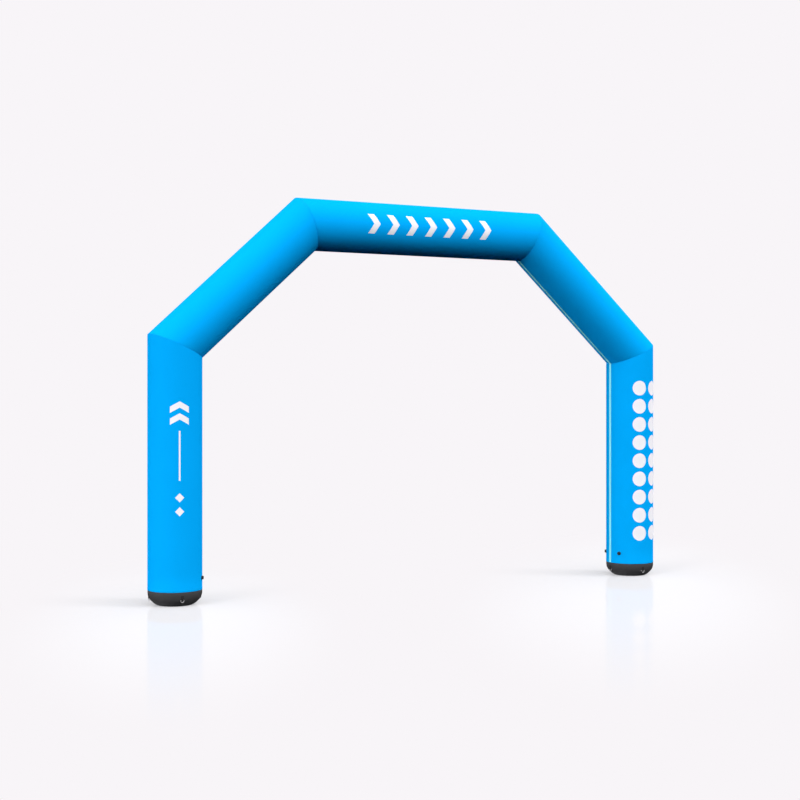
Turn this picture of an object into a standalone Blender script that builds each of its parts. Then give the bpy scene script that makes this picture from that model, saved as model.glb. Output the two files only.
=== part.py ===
"""Inflatable gateway arch: five mitred air-filled cloth tubes standing on two black boots.

Metres, +Z up. The origin is the middle of the footprint, on the ground. The arch spans X and
its front faces -Y. Each half is modelled in its own foot frame: the leg axis is that frame's
Z axis and +X points inwards, to the middle of the arch.
"""
import math

import bmesh
import bpy
from mathutils import Vector

# Arch: centre lines of the tubes
TUBE_DIAMETER = 0.455
LEG_SPACING = 4.573
SHOULDER_HEIGHT = 2.160
BEAM_HEIGHT = 3.244
BEAM_LENGTH = 2.244
GAP = 0.0003

# Foot of the cover, and the boot under it
HEM_HEIGHT = 0.124
HEM_THICKNESS = 0.004
HEM_ROUNDING = 0.0015
HEM_OVERLAP = 0.012
BOOT_RADIUS = 0.220
BOOT_ROUNDING = 0.1137
SOLE_RADIUS = 0.1488
BOOT_TOP_ROUNDING = 0.002
BOOT_SWELL = 0.0066
SWELL_BEARINGS = (42.0, 76.0)
BOOT_LIP_BELOW_HEM = 0.0008
BOOT_LIP_ROUNDING = 0.003

# Zip along the innermost line of the right half
ZIP_WIDTH = 0.034
ZIP_THICKNESS = 0.002
ZIP_END_ABOVE_HEM = 0.004

# Air valves, low on the inner side of each leg
VALVE_HEIGHT = 0.223
VALVE_BEARING = 29.0
VALVE_FLANGE_RADIUS = 0.018
VALVE_FLANGE_THICKNESS = 0.003
VALVE_CAP_RADIUS = 0.0145
VALVE_PROUD = 0.014
VALVE_CHAMFER = 0.0012
VALVE_SEAT_STEPS = 3

# D-rings, each held by a folded webbing tab sewn to the boot
WIRE_RADIUS = 0.002
RING_HALF_WIDTH = 0.014
RING_HEIGHT = 0.0205
RING_CORNER = 0.0035
RING_BAR_BEARING = 69.0
TAB_WIDTH = 0.022
TAB_TOP_BEARING = 86.0
WEBBING_THICKNESS = 0.0015
WEBBING_PLAY = 0.0003
FOLD_GAP = 0.0006
TAB_CLOSES_AFTER = 7.0

# Facets round each shape
TUBE_SIDES = 72
BOOT_ARC_STEPS = 9
BOOT_LIP_STEPS = 2
ZIP_STEPS = 6
VALVE_SIDES = 24
WIRE_SIDES = 8
RING_CORNER_STEPS = 3
RING_BOW_STEPS = 12
TAB_ARC_STEPS = 4
TAB_BEND_STEPS = 9
SMOOTH_BELOW = 30.0

TUBE_RADIUS = TUBE_DIAMETER / 2
LEG_X = LEG_SPACING / 2
DIAGONAL_REACH = (LEG_SPACING - BEAM_LENGTH) / 2
BOOT_TOP = HEM_HEIGHT + HEM_OVERLAP - GAP
BOOT_ARC_START = math.asin((SOLE_RADIUS + BOOT_ROUNDING - BOOT_RADIUS) / BOOT_ROUNDING)
BOOT_ARC_CENTRE = Vector((BOOT_RADIUS - BOOT_ROUNDING, BOOT_ROUNDING * math.cos(BOOT_ARC_START)))

ACROSS = Vector((0, 1, 0))
UP = Vector((0, 0, 1))

# Local corners of one half: foot, shoulder and the two ends of the beam
FOOT = Vector((0, 0, 0))
SHOULDER = Vector((0, 0, SHOULDER_HEIGHT))
BEAM_NEAR = Vector((DIAGONAL_REACH, 0, BEAM_HEIGHT))
BEAM_FAR = Vector((DIAGONAL_REACH + BEAM_LENGTH, 0, BEAM_HEIGHT))

# Colour as linear RGB, roughness and metallic value of each material
MATERIALS = {
    "printed_cloth": ((0.005, 0.36, 0.92), 0.55, 0.0),
    "boot_cloth": ((0.035, 0.035, 0.037), 0.65, 0.0),
    "zip_tape": ((0.36, 0.86, 0.95), 0.55, 0.0),
    "valve_plastic": ((0.02, 0.02, 0.02), 0.45, 0.0),
    "webbing": ((0.02, 0.02, 0.022), 0.80, 0.0),
    "ring_metal": ((0.60, 0.60, 0.60), 0.25, 1.0),
}

# Sides of the arch: x of the leg axis, turn of its foot frame, and sign of a bearing that
# points to the front there
SIDES = {
    "left": (-LEG_X, 0.0, -1),
    "right": (LEG_X, math.pi, 1),
}

# Bearing of each D-ring from the inward direction of its foot frame, as the sign of the front
# (0 for none) and the angle
RING_PLACES = {
    "front": (1, 90.0),
    "back": (-1, 90.0),
    "inner": (0, 0.0),
    "outer": (0, 180.0),
}


def clear_scene():
    for item in list(bpy.data.objects):
        bpy.data.objects.remove(item, do_unlink=True)


def make_material(name):
    colour, roughness, metallic = MATERIALS[name]
    material = bpy.data.materials.new(name)
    material.use_nodes = True
    shader = material.node_tree.nodes["Principled BSDF"]
    shader.inputs["Base Color"].default_value = (*colour, 1.0)
    shader.inputs["Roughness"].default_value = roughness
    shader.inputs["Metallic"].default_value = metallic
    material.diffuse_color = (*colour, 1.0)
    return material


def skin(name, rings, material, loop=False):
    """Join rings of equal length with quads; flat caps close both ends unless it loops."""
    bm = bmesh.new()
    rows = [[bm.verts.new(point) for point in ring] for ring in rings]
    pairs = list(zip(rows, rows[1:]))
    if loop:
        pairs.append((rows[-1], rows[0]))
    else:
        bm.faces.new(rows[0])
        bm.faces.new(rows[-1])
    for lower, upper in pairs:
        for near in range(len(lower)):
            far = (near + 1) % len(lower)
            bm.faces.new((lower[near], lower[far], upper[far], upper[near]))
    bmesh.ops.recalc_face_normals(bm, faces=bm.faces)
    mesh = bpy.data.meshes.new(name)
    bm.to_mesh(mesh)
    bm.free()
    mesh.materials.append(material)
    mesh.shade_smooth()
    mesh.set_sharp_from_angle(angle=math.radians(SMOOTH_BELOW))
    return mesh


def place(name, mesh, parent, turn=0.0):
    """Make one object of a mesh, turned about the Z axis of the frame that it hangs from."""
    item = bpy.data.objects.new(name, mesh)
    item.rotation_euler = (0, 0, turn)
    item.parent = parent
    bpy.context.collection.objects.link(item)
    return item


def make_frame(name, x=0.0, turn=0.0):
    frame = bpy.data.objects.new(name, None)
    frame.location = (x, 0, 0)
    frame.rotation_euler = (0, 0, turn)
    bpy.context.collection.objects.link(frame)
    return frame


def circle(radius, sides):
    """A circle in a plane, as pairs: outwards, and across."""
    step = 2 * math.pi / sides
    return [(radius * math.cos(i * step), radius * math.sin(i * step)) for i in range(sides)]


def level_ring(section, height):
    """A cross-section laid flat round the leg axis; its outward side points away, to -X."""
    return [Vector((-out, across, height)) for out, across in section]


def cut_ring(section, axis, corner, normal, shift):
    """Slide a cross-section along its tube until it lies on a mitre plane.

    The plane passes through the corner, moved by shift along its normal.
    """
    outwards = axis.cross(ACROSS)
    on_plane = corner + normal * shift
    ring = []
    for out, across in section:
        point = corner + outwards * out + ACROSS * across
        slide = (on_plane - point).dot(normal) / axis.dot(normal)
        ring.append(point + axis * slide)
    return ring


def direction(start, end):
    return (end - start).normalized()


def mitre_normal(start, corner, end):
    """Normal of the plane that halves the bend, along the run of the tube."""
    return (direction(start, corner) + direction(corner, end)).normalized()


SHOULDER_NORMAL = mitre_normal(FOOT, SHOULDER, BEAM_NEAR)
BEAM_NORMAL = mitre_normal(SHOULDER, BEAM_NEAR, BEAM_FAR)


def leg_mesh(material):
    """A leg of the cover, with its turned hem as a lip that hangs round the boot's top."""
    inner = TUBE_RADIUS - HEM_THICKNESS
    rings = [cut_ring(circle(TUBE_RADIUS, TUBE_SIDES), UP, SHOULDER, SHOULDER_NORMAL, -GAP / 2)]
    profile = [
        (TUBE_RADIUS, HEM_HEIGHT + HEM_ROUNDING),
        (TUBE_RADIUS - HEM_ROUNDING, HEM_HEIGHT),
        (inner, HEM_HEIGHT),
        (inner, HEM_HEIGHT + HEM_OVERLAP),
    ]
    for radius, height in profile:
        rings.append(level_ring(circle(radius, TUBE_SIDES), height))
    return skin("cover_leg", rings, material)


def diagonal_mesh(material):
    section = circle(TUBE_RADIUS, TUBE_SIDES)
    axis = direction(SHOULDER, BEAM_NEAR)
    rings = [
        cut_ring(section, axis, SHOULDER, SHOULDER_NORMAL, GAP / 2),
        cut_ring(section, axis, BEAM_NEAR, BEAM_NORMAL, -GAP / 2),
    ]
    return skin("cover_diagonal", rings, material)


def beam_mesh(material):
    """The beam, in the left foot frame: its far mitre mirrors the near one."""
    section = circle(TUBE_RADIUS, TUBE_SIDES)
    axis = direction(BEAM_NEAR, BEAM_FAR)
    far_normal = Vector((BEAM_NORMAL.x, 0, -BEAM_NORMAL.z))
    rings = [
        cut_ring(section, axis, BEAM_NEAR, BEAM_NORMAL, GAP / 2),
        cut_ring(section, axis, BEAM_FAR, far_normal, -GAP / 2),
    ]
    return skin("cover_beam", rings, material)


def boot_point(bearing, stand_off):
    """A point off the boot's rounded side, as (radius, height).

    The bearing is measured from straight down: 90 degrees is where the side becomes upright.
    The side swells out towards the top, until it is flush with the leg.
    """
    start, end = (math.radians(angle) for angle in SWELL_BEARINGS)
    share = min(max((bearing - start) / (end - start), 0.0), 1.0)
    reach = BOOT_ROUNDING + BOOT_SWELL * share * share * (3 - 2 * share) + stand_off
    return BOOT_ARC_CENTRE + Vector((math.sin(bearing), -math.cos(bearing))) * reach


def boot_mesh(material):
    """A boot: its rounded side, a lip just below the hem, and a neck that stands inside the hem."""
    profile = []
    for step in range(BOOT_ARC_STEPS + 1):
        bearing = BOOT_ARC_START + (math.pi / 2 - BOOT_ARC_START) * step / BOOT_ARC_STEPS
        profile.append(boot_point(bearing, 0.0))
    lip_radius = BOOT_RADIUS + BOOT_SWELL
    lip_top = HEM_HEIGHT - BOOT_LIP_BELOW_HEM
    for step in range(BOOT_LIP_STEPS + 1):
        angle = math.pi / 2 * step / BOOT_LIP_STEPS
        profile.append((
            lip_radius - BOOT_LIP_ROUNDING * (1 - math.cos(angle)),
            lip_top - BOOT_LIP_ROUNDING * (1 - math.sin(angle)),
        ))
    profile.append((BOOT_RADIUS, lip_top))
    profile.append((BOOT_RADIUS, BOOT_TOP - BOOT_TOP_ROUNDING))
    profile.append((BOOT_RADIUS - BOOT_TOP_ROUNDING, BOOT_TOP))
    rings = [level_ring(circle(radius, TUBE_SIDES), height) for radius, height in profile]
    return skin("boot", rings, material)


def zip_section():
    """The zip's cross-section: a strip that follows the tube's innermost line."""
    half_angle = ZIP_WIDTH / 2 / TUBE_RADIUS
    back = TUBE_RADIUS + GAP
    front = back + ZIP_THICKNESS
    angles = [half_angle * (2 * step / ZIP_STEPS - 1) for step in range(ZIP_STEPS + 1)]
    strip = [(back, angle) for angle in angles] + [(front, angle) for angle in reversed(angles)]
    return [(-radius * math.cos(angle), radius * math.sin(angle)) for radius, angle in strip]


def zip_leg_mesh(material):
    section = zip_section()
    rings = [
        level_ring(section, HEM_HEIGHT + ZIP_END_ABOVE_HEM),
        cut_ring(section, UP, SHOULDER, SHOULDER_NORMAL, -GAP / 2),
    ]
    return skin("zip_leg", rings, material)


def zip_diagonal_mesh(material):
    section = zip_section()
    axis = direction(SHOULDER, BEAM_NEAR)
    rings = [
        cut_ring(section, axis, SHOULDER, SHOULDER_NORMAL, GAP / 2),
        cut_ring(section, axis, BEAM_NEAR, BEAM_NORMAL, -GAP / 2),
    ]
    return skin("zip_diagonal", rings, material)


def valve_mesh(material):
    """An air valve that points along +X: a flange seated on the round leg, and a screw cap."""
    seat = TUBE_RADIUS + GAP
    rings = []
    for step in range(1, VALVE_SEAT_STEPS + 1):
        radius = VALVE_FLANGE_RADIUS * step / VALVE_SEAT_STEPS
        rings.append([
            Vector((math.sqrt(seat ** 2 - across ** 2), across, VALVE_HEIGHT + rise))
            for across, rise in circle(radius, VALVE_SIDES)
        ])
    profile = [
        (VALVE_FLANGE_RADIUS, VALVE_FLANGE_THICKNESS - VALVE_CHAMFER),
        (VALVE_FLANGE_RADIUS - VALVE_CHAMFER, VALVE_FLANGE_THICKNESS),
        (VALVE_CAP_RADIUS, VALVE_FLANGE_THICKNESS),
        (VALVE_CAP_RADIUS, VALVE_PROUD - VALVE_CHAMFER),
        (VALVE_CAP_RADIUS - VALVE_CHAMFER, VALVE_PROUD),
    ]
    for radius, proud in profile:
        rings.append([
            Vector((seat + proud, across, VALVE_HEIGHT + rise))
            for across, rise in circle(radius, VALVE_SIDES)
        ])
    return skin("valve", rings, material)


def bar_stand_off():
    """Distance from the boot's side to the centre of a ring's straight bar."""
    return GAP + WEBBING_THICKNESS + WEBBING_PLAY + WIRE_RADIUS


def bar_centre():
    return boot_point(math.radians(RING_BAR_BEARING), bar_stand_off())


def ring_path():
    """Centre line of a D-ring as (across, height) pairs, with the straight bar on top."""
    bar_height = bar_centre().y
    corner_x = RING_HALF_WIDTH - RING_CORNER
    bow_height = bar_height - RING_HEIGHT + RING_HALF_WIDTH
    path = []
    for step in range(RING_CORNER_STEPS + 1):
        angle = math.pi / 2 * (1 - step / RING_CORNER_STEPS)
        path.append((
            corner_x + RING_CORNER * math.cos(angle),
            bar_height - RING_CORNER + RING_CORNER * math.sin(angle),
        ))
    for step in range(RING_BOW_STEPS // 2 + 1):
        angle = math.pi * step / RING_BOW_STEPS
        path.append((
            RING_HALF_WIDTH * math.cos(angle),
            bow_height - RING_HALF_WIDTH * math.sin(angle),
        ))
    mirrored = [(-across, height) for across, height in reversed(path[:-1])]
    return path + mirrored


def ring_mesh(material):
    """A D-ring of round wire, hanging upright off the +X side of the boot."""
    path = [Vector(point) for point in ring_path()]
    hang_radius = bar_centre().x
    rings = []
    for index, here in enumerate(path):
        along = (path[(index + 1) % len(path)] - path[index - 1]).normalized()
        sideways = Vector((along.y, -along.x))
        ring = []
        for out, side in circle(WIRE_RADIUS, WIRE_SIDES):
            point = here + sideways * side
            ring.append(Vector((hang_radius + out, point.x, point.y)))
        rings.append(ring)
    return skin("ring", rings, material, loop=True)


def tab_centre_line():
    """Middle of the webbing as (radius, height): down the boot, round the bar and up again."""
    top = math.radians(TAB_TOP_BEARING)
    bar = math.radians(RING_BAR_BEARING)
    closed = bar + math.radians(TAB_CLOSES_AFTER)
    inner = GAP + WEBBING_THICKNESS / 2
    outer = inner + WEBBING_THICKNESS + FOLD_GAP
    bend = WIRE_RADIUS + WEBBING_PLAY + WEBBING_THICKNESS / 2
    line = []
    for step in range(TAB_ARC_STEPS):
        line.append(boot_point(top + (bar - top) * step / TAB_ARC_STEPS, inner))
    centre = bar_centre()
    for step in range(TAB_BEND_STEPS + 1):
        angle = bar + math.pi * (1 + step / TAB_BEND_STEPS)
        line.append(centre + Vector((math.sin(angle), -math.cos(angle))) * bend)
    for step in range(TAB_ARC_STEPS):
        line.append(boot_point(closed + (top - closed) * step / (TAB_ARC_STEPS - 1), outer))
    return line


def tab_mesh(material):
    """A webbing tab folded round the ring's bar, with both ends sewn to the boot's +X side."""
    line = tab_centre_line()
    left_edge = []
    right_edge = []
    for index, here in enumerate(line):
        before = line[max(index - 1, 0)]
        after = line[min(index + 1, len(line) - 1)]
        along = (after - before).normalized()
        sideways = Vector((along.y, -along.x)) * (WEBBING_THICKNESS / 2)
        left_edge.append(here - sideways)
        right_edge.append(here + sideways)
    outline = left_edge + right_edge[::-1]
    rings = [
        [Vector((radius, across, height)) for radius, height in outline]
        for across in (-TAB_WIDTH / 2, TAB_WIDTH / 2)
    ]
    return skin("tab", rings, material)


def main():
    clear_scene()
    materials = {name: make_material(name) for name in MATERIALS}
    leg = leg_mesh(materials["printed_cloth"])
    diagonal = diagonal_mesh(materials["printed_cloth"])
    boot = boot_mesh(materials["boot_cloth"])
    valve = valve_mesh(materials["valve_plastic"])
    ring = ring_mesh(materials["ring_metal"])
    tab = tab_mesh(materials["webbing"])
    feet = {}
    for side, (x, turn, front_sign) in SIDES.items():
        foot = make_frame("foot_" + side, x, turn)
        feet[side] = foot
        place("cover_leg_" + side, leg, foot)
        place("cover_diagonal_" + side, diagonal, foot)
        place("boot_" + side, boot, foot)
        for name, sign in (("front", front_sign), ("back", -front_sign)):
            place(f"valve_{side}_{name}", valve, foot, sign * math.radians(VALVE_BEARING))
        for name, (sign, bearing) in RING_PLACES.items():
            turned = math.radians(bearing) * (sign * front_sign if sign else 1)
            place(f"ring_{side}_{name}", ring, foot, turned)
            place(f"tab_{side}_{name}", tab, foot, turned)
    place("cover_beam", beam_mesh(materials["printed_cloth"]), feet["left"])
    place("zip_leg_right", zip_leg_mesh(materials["zip_tape"]), feet["right"])
    place("zip_diagonal_right", zip_diagonal_mesh(materials["zip_tape"]), feet["right"])


main()
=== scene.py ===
"""Looks of the inflatable gateway arch: air-tight printed cloth, boots, zip, valves and D-rings.

Metres, +Z up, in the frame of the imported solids. The five tubes are walked from the left foot
over the beam to the right foot. Round a tube, the bearing is 0 on its front line, which faces
-Y, and a quarter turn on its innermost line, which faces the middle of the gateway.
"""

import math

import bpy
import numpy as np
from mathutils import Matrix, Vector


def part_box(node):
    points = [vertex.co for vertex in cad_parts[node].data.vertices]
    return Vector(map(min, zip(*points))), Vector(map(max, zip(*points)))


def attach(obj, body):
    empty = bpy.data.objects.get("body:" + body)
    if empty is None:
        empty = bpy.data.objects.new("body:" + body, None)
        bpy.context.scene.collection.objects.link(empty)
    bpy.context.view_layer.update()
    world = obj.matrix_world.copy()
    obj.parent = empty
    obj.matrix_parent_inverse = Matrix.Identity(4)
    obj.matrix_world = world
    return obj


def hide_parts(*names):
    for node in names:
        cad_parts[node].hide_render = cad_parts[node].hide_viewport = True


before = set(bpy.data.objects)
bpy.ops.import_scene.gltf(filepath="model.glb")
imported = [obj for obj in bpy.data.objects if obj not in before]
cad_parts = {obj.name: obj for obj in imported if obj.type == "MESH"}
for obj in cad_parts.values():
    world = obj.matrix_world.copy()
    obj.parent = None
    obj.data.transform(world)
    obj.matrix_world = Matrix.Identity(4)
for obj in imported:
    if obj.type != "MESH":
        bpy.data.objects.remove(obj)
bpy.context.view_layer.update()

# ---- sizes of the arch
LEG_LOW, LEG_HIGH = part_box("cover_leg_left")
BEAM_LOW, BEAM_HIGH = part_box("cover_beam")
TUBE_RADIUS = (LEG_HIGH.y - LEG_LOW.y) / 2
LEG_X = -(LEG_LOW.x + LEG_HIGH.x) / 2
BEAM_HEIGHT = (BEAM_LOW.z + BEAM_HIGH.z) / 2
HEM_HEIGHT = LEG_LOW.z
BOOT_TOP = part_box("boot_left")[1].z
SHOULDER_HEIGHT = 2.160
BEAM_LENGTH = 2.244
GAP = 0.0003

QUARTER_TURN = math.pi / 2
INNERMOST = QUARTER_TURN
ACROSS = np.array((0.0, 1.0, 0.0))
FRONT = -ACROSS
UP = np.array((0.0, 0.0, 1.0))
CORNERS = np.array((
    (-LEG_X, 0, 0),
    (-LEG_X, 0, SHOULDER_HEIGHT),
    (-BEAM_LENGTH / 2, 0, BEAM_HEIGHT),
    (BEAM_LENGTH / 2, 0, BEAM_HEIGHT),
    (LEG_X, 0, SHOULDER_HEIGHT),
    (LEG_X, 0, 0),
))
TUBES = ("leg_left", "diagonal_left", "beam", "diagonal_right", "leg_right")
ZIPPED_TUBES = ("diagonal_right", "leg_right")

# Whether the foot of a leg is the end of its tube, and not the start
FOOT_AT_END = {"leg_left": False, "leg_right": True}

# Sides of the arch: x of the leg axis, and the direction in which the inside of the gateway lies
SIDES = {"left": (-LEG_X, 1.0), "right": (LEG_X, -1.0)}

# ---- cloth tubes
TUBE_SIDES = 360
SEAM_STEPS = (0.0, 0.0003, 0.0008, 0.0015, 0.0025, 0.004, 0.0065, 0.010, 0.015, 0.022, 0.031, 0.042, 0.055)
ROW_SPACING = 0.12
SEAM_ROUNDING = 0.0015
STITCH_OFFSET = 0.0065
STITCH_PULL = 0.0004
STITCH_TROUGH = 0.003
PUCKER_DEPTH = 0.0007
PUCKER_REACH = 0.016

# Waves of the puckers round a tube: how many, where they start and their share of the depth
PUCKERS = ((43, 0.4, 0.5), (61, 1.9, 0.3), (23, 4.1, 0.2))

# The felled seam that shuts a tube without a zip: half its width, its rise and where its stitches stop
FELL_HALF_WIDTH = 0.0065
FELL_RISE = 0.0011
FELL_STITCH_OFFSET = 0.0042
FELL_MARGIN = 0.012
FELL_STEPS = 80

HEM_THICKNESS = 0.004
HEM_LIP = 0.0117
HEM_BAND = 0.026
HEM_BULGE = 0.0006
HEM_ROUNDING = 0.0018
HEM_EDGE_STEPS = 4
HEM_STITCH_HEIGHT = 0.022

# Outer face of the turned hem: share of the band's height, and share of its bulge
HEM_FACE = ((0.3, 1), (0.6, 1), (0.76, 1), (HEM_STITCH_HEIGHT / HEM_BAND, 0), (0.94, 0.6), (1, 0))

# ---- boots
BOOT_RADIUS = 0.220
BOOT_ROUNDING = 0.1137
SOLE_RADIUS = 0.1488
BOOT_SIDES = 180
BOOT_ARC_STEPS = 28
BOOT_TOP_ROUNDING = 0.002
BOOT_LIP_BELOW_HEM = 0.0008
BOOT_LIP_ROUNDING = 0.003
EDGE_STEPS = 3

# Rings of the flat sole and of the flat top, as shares of the sole's and the boot's radius
SOLE_SHARES = (0.35, 0.7, 0.96)
BOOT_TOP_SHARE = 0.6

# The rounded side meets the flat sole at its radius, and is upright at the boot's radius
BOOT_ARC_START = math.asin((SOLE_RADIUS + BOOT_ROUNDING - BOOT_RADIUS) / BOOT_ROUNDING)
BOOT_ARC_CENTRE = np.array((BOOT_RADIUS - BOOT_ROUNDING, BOOT_ROUNDING * math.cos(BOOT_ARC_START)))
BOOT_SWELL = 0.0066
SWELL_BEARINGS = (math.radians(42.0), math.radians(76.0))

# The drawn-in seam between sole and side, with extra rings for this many times its reach either way
SOLE_SEAM_BEARING = math.radians(33.0)
SOLE_SEAM_DEPTH = 0.0011
SOLE_SEAM_REACH = 0.003
SOLE_SEAM_SPREAD = 2.4
SOLE_SEAM_RINGS = 13
SOLE_STITCH_DEPTH = 0.0004

# ---- zip
ZIP_WIDTH = 0.034
ZIP_TAPE = 0.0012
ZIP_END_ABOVE_HEM = 0.004
TOOTH_PITCH = 0.0026
TOOTH_SIZE = (0.0052, 0.0017, 0.0014)
TOOTH_BEVEL = 0.0004
TOOTH_SHIFT = 0.0012
CHAIN_MARGIN = 0.0022
ZIP_STOP_SIZE = (0.0084, 0.0050, 0.0019)

# The stitches along the tape: their distance from its middle, how far they sink in, and how far
# inside its two ends they start and stop
TAPE_STITCH_LINE = 0.0138
TAPE_STITCH_SINK = 0.0003
TAPE_STITCH_MARGINS = (0.004, 0.003)
TAPE_STITCH_STEPS = 60

# Right half of the tape's outer face: distance from its middle, and height over its even thickness.
# It has a raised rib beside the teeth, and is drawn in along its stitches.
TAPE_FACE = (
    (0.0003, -0.0006), (0.0009, -0.0001), (0.0016, 0.0002), (0.0028, 0.0002), (0.0040, -0.0002),
    (ZIP_WIDTH * 0.275, -0.0002), (TAPE_STITCH_LINE - 0.0012, -0.0002), (TAPE_STITCH_LINE, -0.0004),
    (TAPE_STITCH_LINE + 0.0012, -0.0002), (ZIP_WIDTH / 2 - 0.0008, -0.0003),
    (ZIP_WIDTH / 2 - 0.0002, -0.0006), (ZIP_WIDTH / 2, 0.0002 - ZIP_TAPE),
)

# Heights over the hem's edge at which the tape has a ring, where it climbs over the turned hem
TAPE_FOOT_STEPS = (0.060, 0.036, 0.032, 0.029, 0.026, 0.023, 0.020, 0.016, ZIP_END_ABOVE_HEM)

# ---- valves
VALVE_HEIGHT = 0.223
VALVE_BEARING = math.radians(29.0)
VALVE_FLANGE_RADIUS = 0.018
VALVE_CAP_RADIUS = 0.0145
VALVE_PROUD = 0.014
VALVE_FLANGE_THICKNESS = 0.003
VALVE_EDGE = 0.0012
VALVE_BACK_SHARES = (0.35, 0.7, 1.0)
VALVE_SIDES = 120
VALVE_GRIPS = 24
GRIP_DEPTH = 0.0006

# The groove between flange and cap: distance past the cap's radius, and height over the flange
CAP_FOOT = ((0.0013, 0), (0.0009, -0.0006), (-0.0006, -0.0006), (-0.0006, 0.0005), (0, 0.0009), (0, 0.0014))

# Where the grips start over the flange and stop below the top, and where the plain band over them starts
GRIPS_START = 0.0020
GRIPS_STOP = 0.0024
CROWN_START = 0.0018

# The dished top: distance past the cap's radius and height over its rim, and then the raised hub in
# its middle, with shares of the cap's radius
CAP_DISH = ((-0.0030, 0), (-0.0036, -0.0003), (-0.0042, -0.0010))
CAP_HUB = ((0.30, -0.0012), (0.26, -0.0006), (0.08, -0.0005))

# ---- D-rings and their tabs
WIRE_RADIUS = 0.002
RING_HALF_WIDTH = 0.014
RING_HEIGHT = 0.0205
RING_CORNER = 0.0035
RING_BAR_BEARING = math.radians(69.0)
WIRE_SIDES = 16
RING_CORNER_STEPS = 6
RING_BOW_STEPS = 14
TAB_WIDTH = 0.022
TAB_TOP_BEARING = math.radians(86.0)
TAB_CLOSES_AT = math.radians(76.0)
WEBBING_THICKNESS = 0.0015
WEBBING_PLAY = 0.0003
FOLD_GAP = 0.0006
TAB_ARC_STEPS = 8
TAB_BEND_STEPS = 18

# Section of the webbing: the flat part of its face as shares of half its width, and its soft edge
WEBBING_FACE = (-0.88, -0.4, 0.0, 0.4, 0.88)
WEBBING_EDGE = 0.0006
WEBBING_EDGE_SHARE = 0.8

BOX_STITCH_PITCH = 0.0029
BOX_STITCH_INSET = 0.0032
BOX_STITCH_MARGIN = 0.00224
BOX_STITCH_STEPS = 9

# ---- thread
STITCH_LENGTH = 0.0038
STITCH_PITCH = 0.0050
THREAD_RADIUS = 0.00035
STITCH_SIDES = 5

# Rings of one stitch: share of its half length, and height over the cloth and radius in thread radii
STITCH_RINGS = (
    (-1.0, -0.6, 0.55), (-0.62, 0.35, 0.95), (0.0, 0.75, 1.0), (0.62, 0.35, 0.95), (1.0, -0.6, 0.55),
)

# ---- printed designs, in cloth metres
BEAM_CHEVRONS = {
    "first": -0.555, "pitch": 0.185, "count": 7, "half_width": 0.088, "stroke": 0.062, "slope": 0.62,
}
BEAM_PRINT_RISE = 0.012
LEG_CHEVRONS = {
    "first": 1.553, "pitch": 0.098, "count": 2, "half_width": 0.080, "stroke": 0.052, "slope": 0.55,
}
LEG_PRINT_BEARING = math.radians(-6.0)
LEG_BAR = {"middle": 1.250, "half_length": 0.205, "half_width": 0.007}
LEG_DIAMONDS = {"first": 0.790, "pitch": 0.115, "count": 2}
DIAMOND_RADIUS = 0.038
DISC_COLUMNS = {"first": math.radians(-9.6) * TUBE_RADIUS, "pitch": 0.1753, "count": 2}
DISC_ROWS = {"first": 0.4195, "pitch": 0.1753, "count": 9}
DISC_RADIUS = 0.0706

# ---- colours and weaves
BLUE = (0.001, 0.360, 0.870)
BLUE_SHEEN = (0.0, 0.45, 1.0)
WHITE_INK = (0.840, 0.830, 0.880)
BOOT_BLACK = (0.046, 0.046, 0.049)
BOOT_GREY = (0.122, 0.122, 0.128)
TAPE_PALE = (0.27, 0.90, 1.0)
# The darker tape colour is painted shade at the tape's edges
TAPE_SHADE_BLUE = (0.06, 0.42, 0.76)
TEETH_PALE = (0.33, 0.90, 1.0)
WEBBING_BLACK = (0.028, 0.027, 0.028)
VALVE_BLACK = (0.016, 0.016, 0.017)
ZINC_BRIGHT = (0.95, 0.95, 0.96)
ZINC_DULL = (0.74, 0.74, 0.75)
THREAD_BLUE = (0.001, 0.300, 0.760)
THREAD_PALE = (0.150, 0.640, 0.860)
THREAD_BLACK = (0.030, 0.030, 0.032)

CLOTH_WEAVE = 0.0009
BOOT_WEAVE = 0.0012
TAPE_WEAVE = 0.0008
TAPE_RIBS = 0.0016
WEBBING_RIBS = 0.0024

# Where the tape turns darker towards its edge with painted shade of the seam beside it, as distances from
# its middle
TAPE_SHADE_EDGE = (ZIP_WIDTH / 2 - 0.0035, ZIP_WIDTH / 2 - 0.0015)

# Where the dust and the painted bounce light fade out up the side of a boot, measured over its surface from
# under the sole. The dust is also made stronger there as painted light from below.
BOOT_DUST_AND_BOUNCE_LIGHT = (0.125, 0.215)
BOOT_BOUNCE_LIGHT = (0.13, 0.20)

# ---- camera
CAMERA_PLACE = (-5.409, -11.083, 1.722)
CAMERA_TURN = -0.439
CAMERA_LENS = 60.998
CAMERA_SENSOR = 36.0
CAMERA_SHIFT = (0.00025, -0.00194)

# ---- stage and light
BACKGROUND = (0.939, 0.913, 0.939)
FLOOR_ALBEDO = (0.308, 0.299, 0.306)
# FLOOR_GLOW is painted light: the floor glows in its pools of light, though it is no lamp
FLOOR_GLOW = (0.372, 0.383, 0.398)
FLOOR_SIZE = 160.0
FLOOR_GLOSS = 0.15
FLOOR_ROUGHNESS = 0.08
POOL_CORE = 0.15

# The pool of light at either foot: the foot, half its width and length, and how far it is set forward
POOLS = ((-LEG_X, (1.4, 4.1), 0.55), (LEG_X, (1.65, 5.2), 1.0))

# The low light along the floor from each side: the way it shines and its strength
FLOOR_LIGHTS = (("from_left", math.radians(25), 3.3), ("from_right", math.radians(145), 5.4))
FLOOR_LIGHT_RISE = math.radians(13)
FLOOR_LIGHT_WIDTH = math.radians(24)

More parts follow.
